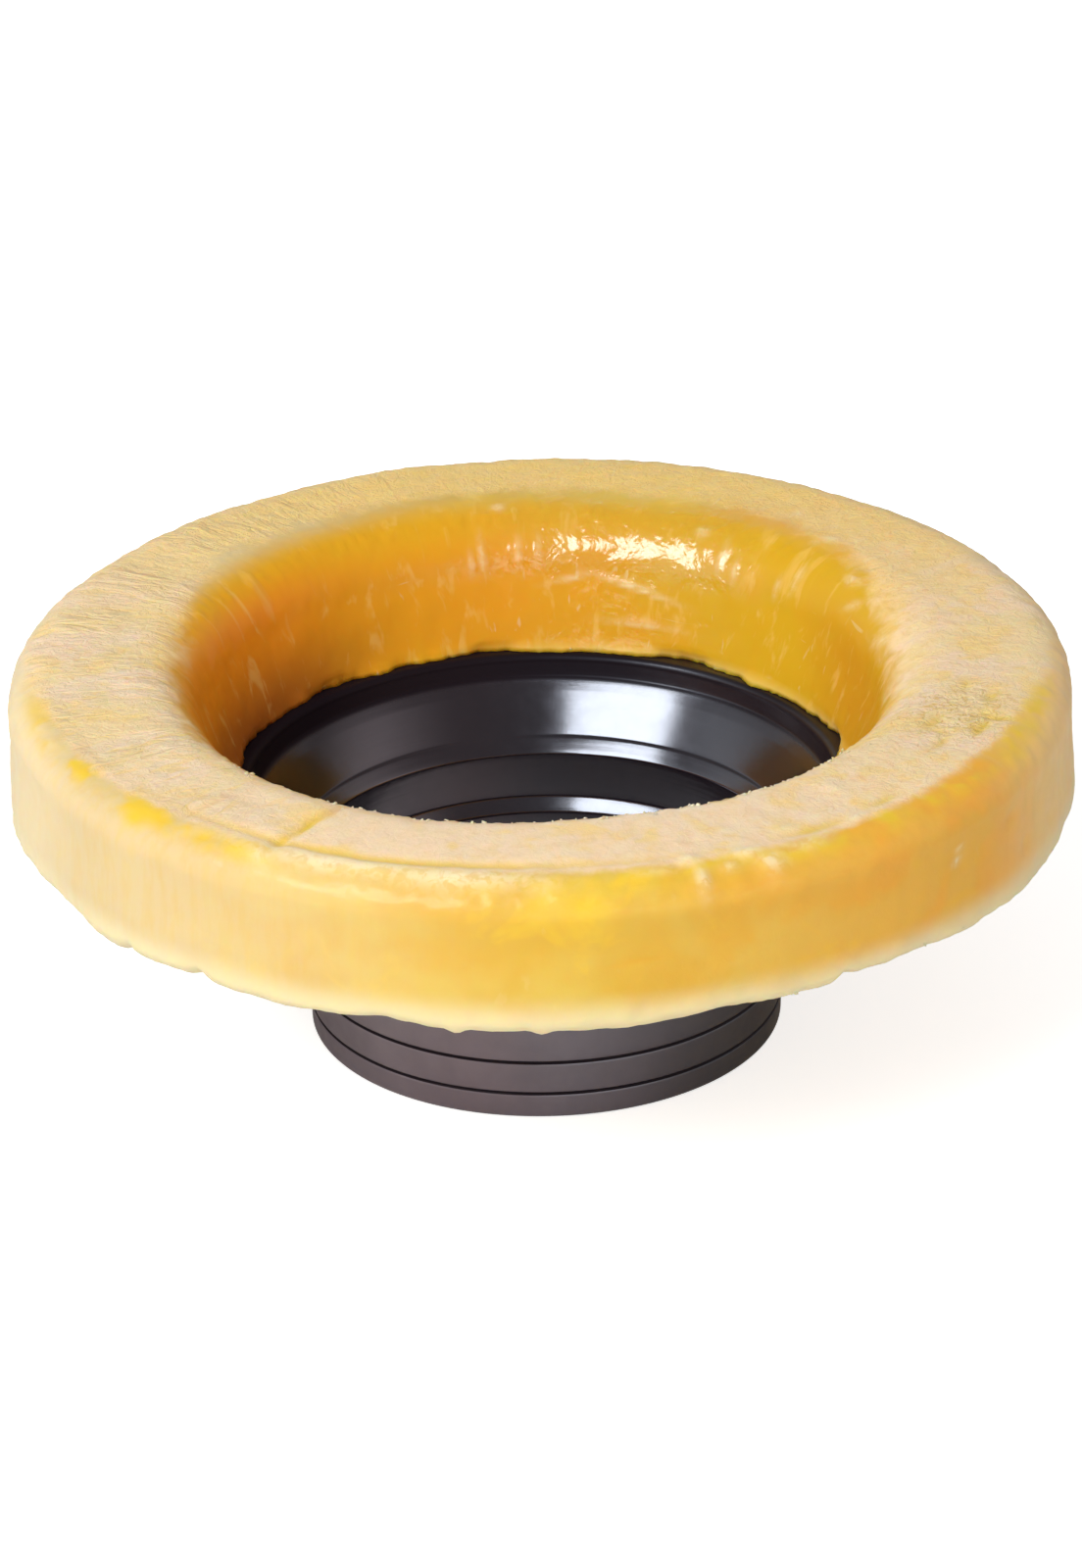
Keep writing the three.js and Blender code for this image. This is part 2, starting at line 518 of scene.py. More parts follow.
@dataclass(frozen=True)
class WaxFinish:
    """Translucent amber wax, with painted light and shade: pale and wrinkled on top, partly a painted sheen,
    golden in the bore, and milky at the left.
    """

    name: str = "amber_wax"
    amber: Colour = (0.71, 0.43, 0.050)
    honey: Colour = (0.73, 0.50, 0.085)
    # Painted light: the milky pale of the lit left side.
    painted_light_milk: Colour = (0.71, 0.55, 0.30)
    # Painted shade: the deeper orange of the side's shaded right.
    shade_orange: Colour = (0.88, 0.41, 0.050)
    # Gold is partly painted light, where the bore is lit at the right and higher up.
    gold: Colour = (0.70, 0.40, 0.015)
    deep: Colour = (0.83, 0.36, 0.014)
    # The next three colours are painted shade in the bore: red at its left, brown at its front right, dark
    # brown low at its left.
    shade_red: Colour = (0.90, 0.27, 0.010)
    dusky: Colour = (0.62, 0.25, 0.012)
    deep_shade: Colour = (0.33, 0.085, 0.014)
    yolk: Colour = (0.84, 0.56, 0.040)
    # The pale top's colour, partly a painted sheen; also painted light at the far right edge of the side.
    bloom: Colour = (0.95, 0.70, 0.36)
    blush: Colour = (0.97, 0.71, 0.46)
    straw: Colour = (0.98, 0.66, 0.21)
    # Painted light: the pale of the lower edge, lit through from the floor.
    thin: Colour = (0.84, 0.73, 0.43)
    cream: Colour = (0.93, 0.77, 0.47)
    depth: Colour = (1.0, 0.42, 0.12)
    depth_scale: float = 2.4 * MM
    inner_border: Point = (46.5, 54.8)
    outer_border: Point = (65.0, 68.0)
    creased_at: tuple[float, float, float] = (54.0, -21.0, 51.5)

    def build(self) -> bpy.types.Material:
        """Builds the material.

        Returns:
            The wax's material.
        """
        tree = WaxTree(self.name)
        topped = self.topped(tree)
        away = tree.vector("SUBTRACT", tree.where, self.creased_at)
        creased = tree.band(tree.vector("LENGTH", away), 13.0, 4.0)
        normal, coat_normal = self.relief(tree, topped, creased)
        satin = tree.noise(tree.where, 0.25, 2.0, 0.6, seed=4.0)
        return tree.done({
            "Base Color": self.colour(tree, topped, creased),
            "Roughness": tree.band(satin, 0.3, 0.7, 0.38, 0.52),
            "IOR": 1.45,
            "Specular IOR Level": tree.band(tree.bore, 0.0, 1.0, 0.26, 0.06),
            "Normal": normal,
            "Coat Weight": self.gloss(tree),
            "Coat Roughness": 0.22,
            "Coat IOR": 1.8,
            "Coat Normal": coat_normal,
            "Subsurface Weight": 0.5,
            "Subsurface Radius": self.depth,
            "Subsurface Scale": self.depth_scale,
        })

    @staticmethod
    def gloss(tree: WaxTree) -> Socket:
        """Builds how glossy the skin is: along the upper edge outside, and at the back of the bore.

        Args:
            tree: the material's tree.

        Returns:
            The weight of the glossy coat.
        """
        outside = tree.band(tree.z, 46.5, 50.5, 0.014, 0.14)
        high = tree.band(tree.z, 42.5, 46.0, 0.1, 1.0)
        middle = tree.times(tree.band(tree.x, -16.0, 2.0, 0.10, 1.0),
                            tree.band(tree.x, 22.0, 33.0, 1.0, 0.15))
        return tree.mix(tree.bore, outside, tree.times(high, middle))

    def topped(self, tree: WaxTree) -> Socket:
        """Builds how much a point belongs to the pale top, partly a painted sheen, whose borders lie further
        out at the back, and whose inner border lies further out at the left, so that painted shade in orange
        reaches up the lip there.

        Args:
            tree: the material's tree.

        Returns:
            A share from 0 to 1.
        """
        streaks = tree.noise(tree.where, 0.24, 3.0, 0.6, 0.5, seed=21.0)
        drift = tree.times(tree.minus(streaks, 0.5), 7.0)
        # Painted shade: at the left the inner border lies further out, so the orange reaches further up the
        # shaded lip.
        inner = tree.plus(tree.band(tree.north, 0.05, 0.9, *self.inner_border),
                          tree.band(tree.east, -0.4, -0.9, 0.0, 1.8))
        outer = tree.band(tree.north, -0.35, 0.15, *self.outer_border)
        past_inner = tree.minus(tree.plus(tree.radius, drift), inner)
        past_outer = tree.plus(tree.minus(tree.radius, outer), tree.times(drift, 0.35))
        return tree.times(tree.band(past_inner, -2.4, 2.4), tree.band(past_outer, -1.0, 1.2, 1.0, 0.0),
                          tree.band(tree.z, 45.0, 47.5))

    @staticmethod
    def scratches(tree: WaxTree) -> Socket:
        """Builds sparse thin pale dashes up the wax and round it, fewer at the left and at the far right.

        Args:
            tree: the material's tree.

        Returns:
            A share from 0 to 1.
        """
        upright = tree.noise(tree.ringed(tree.z, 0.45), 0.62, 2.0, 0.5, 0.5, seed=30.0)
        bend = tree.times(tree.minus(tree.noise(tree.where, 0.08, 1.0, seed=44.0), 0.5), 9.0)
        bent = tree.vector("ADD", tree.ringed(tree.z, 2.2, 9.0), tree.scaled((0.0, 0.0, 1.0), bend))
        level = tree.noise(bent, 0.62, 1.0, 0.4, 0.2, seed=31.0)
        marks = tree.greatest(tree.band(upright, 0.66, 0.73), tree.band(level, 0.74, 0.80))
        sparse = tree.band(tree.noise(tree.where, 0.14, 1.0, 0.5, seed=41.0), 0.49, 0.61)
        shown = tree.times(sparse, tree.band(tree.x, -34.0, -12.0, 0.1, 0.75),
                           tree.band(tree.x, 18.0, 34.0, 1.0, 0.6))
        return tree.times(marks, shown)

    def colour(self, tree: WaxTree, topped: Socket, creased: Socket) -> Socket:
        """Builds the wax's colour, from the body outwards to its pale top, edges and marks.

        Args:
            tree: the material's tree.
            topped: how much a point belongs to the pale top.
            creased: how near it is to the creased patch at the right.

        Returns:
            The colour.
        """
        cloud = tree.noise(tree.where, 0.16, 2.0, 0.6, 0.3, seed=3.0)
        mottle = tree.noise(tree.where, 0.45, 4.0, 0.65, 0.6, seed=2.0)
        broken = tree.noise(tree.where, 0.7, 2.0, 0.6, 0.5, seed=50.0)
        upper_edge = tree.times(
            tree.band(tree.radius, 64.0, 65.4),
            tree.band(tree.radius, 66.6, 69.2, 1.0, 0.0),
            tree.band(tree.z, 47.0, 49.5),
            tree.band(cloud, 0.40, 0.60, 0.15, 1.0),
            tree.band(tree.north, -0.35, 0.05, 1.0, 0.15),
            tree.greatest(tree.band(tree.x, -38.0, -30.0, 1.0, 0.1), tree.band(tree.x, -4.0, 3.0, 0.1, 1.0)))
        # Painted sheen, in part: the pale top, a little less of it at the back.
        cover = tree.times(tree.band(mottle, 0.3, 0.58, 0.78, 1.0),
                           tree.band(tree.north, -0.4, 0.9, 1.0, 0.85), topped)
        scored = tree.times(self.scratches(tree),
                            tree.band(tree.plus(tree.bore, topped), 0.0, 1.0, 0.10, 0.50))
        return tree.coats(
            self.side(tree),
            (tree.bore, self.inside(tree)),
            (upper_edge, self.yolk),
            (cover, self.pale_top(tree, cloud, creased)),
            (scored, self.cream),
            (tree.share(Share.YOLK), self.yolk),
            (tree.share(Share.SHADE), self.deep),
            # Painted light: the pale hem stands in for light through the thin lower edge from the floor.
            (tree.times(tree.share(Share.HEM), 0.92), self.thin),
            # Pale crumbs, and the painted highlights and glints that the marks carry.
            (tree.times(tree.share(Share.CRUMB_AND_GLINT), tree.band(broken, 0.36, 0.58, 0.45, 1.0)), self.cream))

    def side(self, tree: WaxTree) -> Socket:
        """Builds the side's colour: amber and honey clouds, milky and pale at the left as painted light,
        deeper orange at the right as painted shade, and lighter at the far right edge as painted light.

        Args:
            tree: the material's tree.

        Returns:
            The colour.
        """
        patches = tree.band(tree.noise(tree.where, 0.075, 2.0, 0.55, 0.5, seed=1.0), 0.38, 0.62)
        spots = tree.band(tree.noise(tree.where, 0.11, 3.0, 0.6, 0.8, seed=8.0), 0.50, 0.74, 0.0, 0.6)
        drawn_up = tree.vector("MULTIPLY", tree.where, (1.0, 1.0, 0.22))
        fibres = tree.noise(drawn_up, 0.6, 3.0, 0.6, seed=9.0)
        # Painted shade: deeper orange from the middle to the right, away from the light.
        painted_shade_right = tree.times(tree.band(tree.x, 5.0, 52.0), tree.band(patches, 0.0, 1.0, 0.9, 0.6))
        # Painted light: milky and paler at the left, where the light falls, with pale fibres.
        painted_light_left = tree.times(tree.band(tree.x, 2.0, -62.0), tree.band(fibres, 0.3, 0.65, 0.75, 1.0))
        return tree.coats(
            self.amber,
            (patches, self.honey),
            (spots, self.yolk),
            (painted_shade_right, self.shade_orange),
            (painted_light_left, self.painted_light_milk),
            # Painted light: a cream sheen at the far left edge, and a lighter colour at the far right edge.
            (tree.band(tree.x, -57.0, -69.0, 0.0, 0.5), self.cream),
            (tree.band(tree.x, 54.0, 69.0, 0.0, 0.6), self.bloom))

    def inside(self, tree: WaxTree) -> Socket:
        """Builds the bore's colour: golden at the right and higher up as painted light, amber at the back,
        and painted shade: red at the left, dark brown low at the left and brown at the front right.

        Args:
            tree: the material's tree.

        Returns:
            The colour.
        """
        clouds = tree.noise(tree.where, 0.09, 2.0, 0.55, 0.6, seed=12.0)
        wear = tree.noise(tree.ringed(tree.fall, 1.0), 0.32, 3.0, 0.6, 0.4, seed=13.0)
        # Painted light: more golden towards the right, where the bore is lit, over random clouds.
        lit_golden = tree.plus(tree.band(tree.x, -12.0, 30.0), tree.minus(clouds, 0.5))
        # Painted shade: red high on the shaded left wall, dark brown low on it, and darker at the front
        # right.
        glow = tree.times(tree.band(tree.x, -20.0, -42.0), tree.band(tree.z, 52.0, 46.5))
        shaded_low_left = tree.times(tree.band(tree.x, -16.0, -38.0), tree.band(tree.z, 45.0, 35.0), 0.85)
        shaded_front_right = tree.times(tree.band(tree.x, 33.0, 43.0), tree.band(tree.z, 50.5, 43.0), 0.75)
        rim = tree.times(tree.share(Share.RAW), tree.band(tree.x, -18.0, 12.0, 0.0, 0.55))
        return tree.coats(
            self.deep,
            (lit_golden, self.gold),
            # Painted light: more golden higher up the bore.
            (tree.band(tree.z, 46.0, 51.0, 0.0, 0.6), self.gold),
            (glow, self.shade_red),
            (shaded_low_left, self.deep_shade),
            (shaded_front_right, self.dusky),
            (rim, self.straw),
            (tree.band(wear, 0.56, 0.72, 0.0, 0.3), self.straw))

    def pale_top(self, tree: WaxTree, cloud: Socket, creased: Socket) -> Socket:
        """Builds the pale top's colour, partly a painted sheen, with pinkish and straw blotches: pinker at
        the front where the sheen is painted stronger, straw at the back where it is weaker, and straw in the
        furrows of the wrinkles at the left as painted shade.

        Args:
            tree: the material's tree.
            cloud: a broad pattern that the blotches follow.
            creased: how near a point is to the creased patch at the right.

        Returns:
            The colour.
        """
        blotches = tree.noise(tree.where, 0.10, 2.0, 0.6, 0.4, seed=14.0)
        # Painted sheen: pinker at the front.
        pink = tree.greatest(tree.band(blotches, 0.45, 0.62), tree.band(tree.north, -0.4, -0.9))
        strokes = tree.band(tree.noise(tree.where, 0.55, 3.0, 0.6, 1.6, seed=19.0), 0.47, 0.36)
        # Painted shade: straw in the furrows of the wrinkles at the left.
        furrow_shade = tree.times(tree.band(tree.wrinkles, 0.46, 0.34),
                             tree.band(tree.east, -0.2, -0.85, 0.0, 0.6))
        # Straw in random clouds, at the back where the painted sheen is weaker, and in the painted shade of
        # the furrows.
        straw_tone_and_shade = tree.greatest(tree.band(cloud, 0.5, 0.66, 0.0, 0.6), tree.band(tree.north, 0.1, 0.95), furrow_shade)
        return tree.coats(
            self.bloom,
            (pink, self.blush),
            (tree.times(strokes, creased, 0.6), self.amber),
            (straw_tone_and_shade, self.straw))

    @staticmethod
    def relief(tree: WaxTree, topped: Socket, creased: Socket) -> tuple[Socket, Socket]:
        """Builds the fine relief: radial wrinkles on top, a faint crinkle, and a drawn glossy skin.

        Args:
            tree: the material's tree.
            topped: how much a point belongs to the pale top.
            creased: how near it is to the creased patch at the right.

        Returns:
            The normal of the wax itself, and the normal of its glossy coat.
        """
        patchy = tree.band(tree.noise(tree.where, 0.10, 1.0, seed=18.0), 0.40, 0.60, 0.4, 1.0)
        crinkle = tree.noise(tree.where, 0.8, 3.0, 0.6, 1.0, seed=6.0)
        radial = tree.times(tree.wrinkles, tree.times(tree.band(tree.east, 0.1, -0.8, 0.35, 1.5), patchy))
        lively = tree.plus(tree.band(tree.north, -0.98, -0.6, 0.35, 1.0), tree.times(creased, 1.1))
        flat = tree.band(tree.z, 50.0, 51.5, 0.15, 1.0)
        strength = tree.plus(tree.times(topped, lively, flat), tree.band(tree.bore, 0.0, 0.6, 0.07, 0.02))
        folds = tree.noise(tree.where, 0.20, 3.0, 0.5, 0.6, seed=7.0)
        dimples = tree.noise(tree.where, 0.55, 2.0, 0.5, 0.4, seed=17.0)
        drawn = tree.times(tree.plus(folds, tree.times(dimples, 0.32)),
                           tree.band(tree.bore, 0.0, 1.0, 0.5, 1.0))
        wax = tree.bump(strength, 0.6, tree.plus(radial, tree.times(crinkle, 0.55)))
        return wax, tree.bump(0.9, 0.7, drawn)


@dataclass(frozen=True)
class HornFinish:
    """Black moulded plastic: glossy in the waterway, satin outside, dull round its lip."""

    name: str = "black_plastic"
    black: Colour = (0.011, 0.007, 0.010)
    worn: Colour = (0.128, 0.098, 0.118)
    shaded: Colour = (0.014, 0.009, 0.010)
    plum: Colour = (1.0, 0.80, 0.90)
    steel: Colour = (0.74, 0.82, 1.0)

    def build(self) -> bpy.types.Material:
        """Builds the material.

        Returns:
            The horn's material.
        """
        tree = FinishTree(self.name)
        outside = tree.minus(1.0, tree.bore)
        line = tree.share(Share.LINE)
        lip = tree.times(tree.band(tree.z, 30.6, 31.6), tree.band(tree.x, 6.0, 24.0, 1.0, 0.55))
        cloud = tree.noise(tree.where, 0.12, 4.0, 0.6, seed=1.0)
        worn = tree.times(outside, tree.band(cloud, 0.3, 0.7, 0.75, 1.0))
        # Painted shade: the outside is painted darker towards the right, away from the light.
        skin = tree.coats(self.worn, (tree.band(tree.x, 0.0, 27.0), self.shaded))
        satin = tree.noise(tree.where, 0.5, 4.0, 0.6, seed=2.0)
        dull = tree.times(tree.greatest(outside, lip), 0.26)
        shine = tree.times(
            tree.band(tree.x, -31.0, -20.0, 0.15, 1.0),
            tree.band(tree.x, 22.0, 32.0, 1.0, 0.35),
            tree.band(line, 0.0, 0.6, 1.0, 0.05))
        rings = tree.noise(tree.vector("MULTIPLY", tree.where, (0.03, 0.03, 1.0)), 1.6, 3.0, 0.6, seed=3.0)
        grain = tree.noise(tree.where, 3.0, 2.0, 0.5, seed=4.0)
        return tree.done({
            # Painted shade: the fine lines round the sleeve are painted black.
            "Base Color": tree.coats(self.black, (worn, skin), (line, self.black)),
            "Roughness": tree.plus(tree.band(satin, 0.3, 0.7, 0.15, 0.21), dull),
            "IOR": 1.68,
            "Specular IOR Level": tree.times(tree.band(lip, 0.0, 1.0, 0.75, 0.08), shine),
            "Specular Tint": tree.coats(self.plum, (tree.band(tree.x, -12.0, 4.0), self.steel)),
            "Normal": tree.bump(0.25, 0.05, tree.plus(rings, tree.times(grain, 0.25))),
            "Coat Weight": tree.times(tree.band(lip, 0.0, 1.0, 0.9, 0.0), shine),
            "Coat Roughness": 0.17,
        })


def dress(piece: bpy.types.Object, node: str) -> None:
    """Puts a piece in the place of a node of the frame.

    Args:
        piece: the finished piece.
        node: the node that it stands for.
    """
    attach(piece, BODY)
    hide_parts(node)


@dataclass
class Horn:
    """The black horn: flange, funnel, throat and sleeve, from the same sizes as its solid.

    Each stage of the waterway, from sleeve to lip, is how far it widens and how far it rises.
    """

    flats: int = 320
    step: float = 0.6 * MM
    lip_step: float = 0.3 * MM
    sleeve_bore: float = 29.8 * MM
    wall: float = 1.6 * MM
    rim_edge: float = 0.4 * MM
    sleeve: Point = (0.5 * MM, 14.6 * MM)
    shoulder: Point = (1.2 * MM, 1.9 * MM)
    throat: Point = (0.0, 6.4 * MM)
    foot: Point = (1.5 * MM, 1.8 * MM)
    ledge: Point = (0.3 * MM, 0.1 * MM)
    funnel: Point = (3.5 * MM, 5.0 * MM)
    bevel: Point = (1.1 * MM, 1.4 * MM)
    groove: Point = (0.4 * MM, 0.3 * MM)
    lip: Point = (0.6 * MM, 1.8 * MM)
    lip_round: float = 1.0 * MM
    flange_reach: float = 11.1 * MM
    flange_thickness: float = 1.0 * MM
    line_heights: Point = (8.2 * MM, 3.6 * MM)
    line_width: float = 0.6 * MM
    line_depth: float = 0.25 * MM
    soft_edge: float = 0.25 * MM
    finish: HornFinish = field(default_factory=HornFinish)

    def __post_init__(self) -> None:
        """Works out the waterway's corners, from the lower rim up, and where the flange lies."""
        self.bore = [(self.sleeve_bore, 0.0)]
        for wider, higher in (self.sleeve, self.shoulder, self.throat, self.foot, self.ledge,
                              self.funnel, self.bevel, self.groove, self.lip):
            self.bore.append((self.bore[-1][0] + wider, self.bore[-1][1] + higher))
        lip_radius, self.lip_height = self.bore[-1]
        self.neck = lip_radius + self.wall
        self.mouth = lip_radius + self.lip_round
        self.flange_radius = self.mouth + self.flange_reach
        self.flange_top = self.lip_height + self.lip_round
        self.underside = self.flange_top - self.flange_thickness

    def sleeve_outside(self, height: float) -> float:
        """Returns the sleeve's outer radius at a height."""
        return self.sleeve_bore + self.wall + self.sleeve[0] * height / self.sleeve[1]

    def corners(self) -> list[Point]:
        """Lists the corners of the horn's outline, up the waterway and down the outside.

        Returns:
            The corners.
        """
        lip = Outline()
        lip.arc((self.mouth, self.lip_height), (self.lip_round, self.lip_round), (180, 90), self.lip_step)
        flange = [(self.flange_radius, self.flange_top), (self.flange_radius, self.underside),
                  (self.neck, self.underside)]
        _, sleeve, shoulder, throat, _, ledge, funnel, *_ = self.bore
        outside = [(radius + self.wall, height)
                   for radius, height in (funnel, ledge, throat, shoulder, sleeve)]
        half = self.line_width / 2
        lines = [(self.sleeve_outside(height + step) - depth, height + step)
                 for height in self.line_heights
                 for step, depth in ((half, 0.0), (0.0, self.line_depth), (-half, 0.0))]
        rim = [(self.sleeve_outside(self.rim_edge), self.rim_edge),
               (self.sleeve_outside(0.0) - self.rim_edge, 0.0)]
        return [*self.bore[:-1], *lip.points, *flange, *outside, *lines, *rim]

    def outline(self) -> Outline:
        """Draws the outline, with its corners softened as moulding leaves them.

        Returns:
            The outline.
        """
        corners = self.corners()
        drawn = Outline()
        for before, here, after in zip([corners[-1], *corners], corners, [*corners[1:], corners[0]]):
            arrive, leave = (self.cut_back(here, other) for other in (before, after))
            drawn.line(arrive, self.step)
            if math.dist(arrive, leave) > TINY:
                drawn.bend(here, leave, self.soft_edge / 2)
        drawn.line(self.cut_back(corners[0], corners[-1]), self.step)
        return drawn

    def cut_back(self, corner: Point, towards: Point) -> Point:
        """Finds the point a soft edge short of a corner, on the way to another one.

        Args:
            corner: the corner.
            towards: the other corner.

        Returns:
            The point.
        """
        length = math.dist(corner, towards)
        share = min(self.soft_edge, length / 3) / length
        return tuple(a + (b - a) * share for a, b in zip(corner, towards))

    def in_bore(self, radius: float, height: float) -> float:
        """Works out how far a point of the outline is on the waterway's side of the wall.

        Args:
            radius: the point's radius.
            height: its height.

        Returns:
            1 on the waterway's side and on the flange, and 0 outside.
        """
        if height > self.flange_top - self.flange_thickness / 2:
            return 1.0
        radii, heights = zip(*self.bore)
        inner = float(np.interp(height, heights, radii))
        return 1.0 - smooth_step(inner + self.wall * 0.4, inner + self.wall * 0.6, radius)

    def in_line(self, radius: float, height: float) -> float:
        """Works out whether a point of the outline is in a fine line round the sleeve.

        Args:
            radius: the point's radius.
            height: its height.

        Returns:
            1 in a line, and 0 elsewhere.
        """
        deep = self.sleeve_outside(height) - radius > self.line_depth / 4
        level = min(abs(height - line) for line in self.line_heights) < self.line_width
        return 1.0 if deep and level and radius > self.sleeve_bore + self.wall / 2 else 0.0

    def build(self) -> bpy.types.Object:
        """Builds the horn.

        Returns:
            The finished piece.
        """
        shares = {Share.BORE: self.in_bore, Share.LINE: self.in_line}
        tree = SpinTree("spin_horn", self.flats, shares)
        tree.finish(tree.skin, self.finish.build())
        piece = tree.run(self.outline().mesh("horn_outline", shares), "plastic_horn")
        dress(piece, "horn")
        return piece


@dataclass(frozen=True)
class Touch:
    """One dent, notch, drip, fleck, crease or painted glint of the wax: where it is, how wide, and which way
    it goes.

    The place is an azimuth in degrees, a radius and a height, and all lengths are in millimetres. The
    spread is around, outwards and up, and the push is outwards and up.
    """

    tone: Share
    azimuth: float
    radius: float
    height: float
    spread: tuple[float, float, float]
    push: Point
    tint: float = 0.0
    lean: float = 0.0

    def weight(self, points: np.ndarray) -> np.ndarray:
        """Works out how much each point takes part.

        Args:
            points: the points, one row each, in millimetres.

        Returns:
            A share from 0 to 1 for each point.
        """
        radius = np.hypot(points[:, 0], points[:, 1])
        turn = np.degrees(np.arctan2(points[:, 1], points[:, 0])) - self.azimuth
        around = np.radians((turn + 180.0) % 360.0 - 180.0) * radius
        away = np.stack([around, radius - self.radius, points[:, 2] - self.height - self.lean * around])
        return np.exp(-((away / np.array(self.spread)[:, None]) ** 2).sum(0))


def toned(tone: Share, *rows: tuple[Any, ...]) -> tuple[Touch, ...]:
    """Makes touches of one tone, each from a row of its other values."""
    return tuple(Touch(tone, *row) for row in rows)


LOWER_EDGE = toned(
    Share.CRUMB_AND_GLINT,
    (-155, 69.5, 33.0, (12, 5, 3), (-0.4, 0.8)),
    (-139.4, 69.5, 32.5, (1.4, 3, 2), (-0.3, 0.8)),
    (-130, 69.5, 32.5, (9, 4, 3), (0, 0.5)),
    (-129, 69.5, 32.5, (1.3, 3, 2), (-0.3, 0.7)),
    (-106.5, 69.5, 32.5, (6, 4, 3), (0, 0.7)),
    (-99.3, 69.3, 32.3, (1.1, 2, 1.2), (0.1, -0.6)),
    (-90.5, 69.3, 32.3, (1.2, 2, 1.2), (0.1, -0.6)),
    (-71, 69.5, 32.5, (7, 4, 3), (0, 0.8)),
    (-57.2, 69.5, 32.5, (1.4, 3, 2), (-0.3, 0.9)),
    (-50, 69.5, 32.5, (11, 4, 3), (0, 1)),
)

# The pale tints of the first group are painted highlights along the bead and on the wrinkles of the front
# upper edge.
UPPER_EDGE = toned(
    Share.CRUMB_AND_GLINT,
    (-121.8, 66.6, 51.4, (2, 1.2, 3), (0.1, 0.35), 0.7),
    (-113, 65.6, 51.6, (14, 1.5, 3), (0, 0.3), 1),
    (-99, 66.2, 51.4, (10, 1.5, 3), (0, 0.35), 1),
    (-90.5, 66.8, 51.0, (3.2, 1.2, 2), (0, 0.2), 0.5),
    (-78, 66.0, 51.3, (3, 0.7, 2), (0, 0.15), 0.4),
    (-73.8, 64.4, 51.8, (1.4, 1.3, 3), (0, 0.5), 0.9),
    (-73.2, 67.6, 50.4, (0.8, 1.8, 2.4), (0.25, 0.25), 0.9),
    (-69.8, 66.8, 51.0, (1, 0.7, 2), (0.1, 0.2), 0.6),
    (-67.2, 65.2, 51.6, (2.2, 1, 3), (0, 0.45), 0.9),
    (-65.1, 67.2, 50.9, (1.7, 1.3, 2.2), (0.2, 0.35), 0.9),
    (-60, 66.0, 51.2, (2.6, 0.9, 2), (0, 0.25), 0.7),
) + toned(
    Share.YOLK,
    (-139.5, 67.6, 50.8, (1.6, 1.1, 2), (0, -0.25), 1),
    (-129.5, 66.6, 51.4, (1.6, 1, 2), (0, -0.3), 1),
    (-108, 63.4, 51.9, (30, 0.9, 3), (0, -0.35), 0.85),
    (-85.6, 69.2, 49.2, (3, 2, 2.2), (-0.1, 0), 0.9),
    (-27.5, 67.8, 50.6, (3.4, 1.5, 3), (0, 0), 0.6),
    (-20.8, 67.0, 51.0, (2.6, 1.8, 3), (0, -0.1), 0.85),
)

CREASES = toned(
    Share.YOLK,
    (-121.3, 63.0, 51.9, (0.9, 2.8, 3), (0, -0.55), 0.9),
    (-120.7, 58.0, 51.9, (0.8, 3.4, 3), (0, -0.65), 1),
    (-57.5, 63.4, 51.7, (5, 1, 3), (0, -0.3), 0.7),
    (-47, 63.0, 51.7, (2.6, 0.9, 3), (0, -0.25), 0.7),
    (-30, 59.0, 51.9, (3, 0.8, 3), (0, -0.4), 0.65),
    (-27, 57.4, 51.9, (0.8, 1.6, 3), (0, -0.4), 0.6),
    (-24.9, 55.5, 51.9, (2.2, 0.7, 3), (0, -0.4), 0.7),
    (-24.5, 61.9, 51.9, (2.6, 0.8, 3), (0, -0.45), 0.85),
    (-21, 63.2, 51.9, (0.8, 2.4, 3), (0, -0.45), 0.85),
    (-15.5, 60.5, 51.9, (1.8, 0.8, 3), (0, -0.4), 0.7, 0.3),
    (-12, 56.5, 51.9, (2, 0.7, 3), (0, -0.35), 0.5),
) + toned(
    Share.SHADE,
    (-134, 60.5, 51.9, (0.6, 4, 3), (0, -0.25), 0.25),
    (-119.8, 53.0, 51.4, (0.7, 2.6, 3), (0, -0.45), 0.45),
    (-81, 70.0, 41.5, (3.6, 2, 0.35), (-0.15, 0), 0.3, 0.1),
)

DENTS = toned(
    Share.CRUMB_AND_GLINT,
    (-100, 56.0, 51.6, (34, 9, 4), (-0.4, 0.45)),
    (-65, 50.5, 51.0, (22, 4, 3), (-0.2, 0.4)),
    (-41.4, 69.8, 43.2, (1.3, 2, 1), (-0.4, 0)),
    (-31.6, 69.8, 44.6, (1.2, 2, 0.9), (-0.4, 0)),
    (-28.1, 69.8, 39.2, (1.3, 2, 1.1), (-0.4, 0)),
)

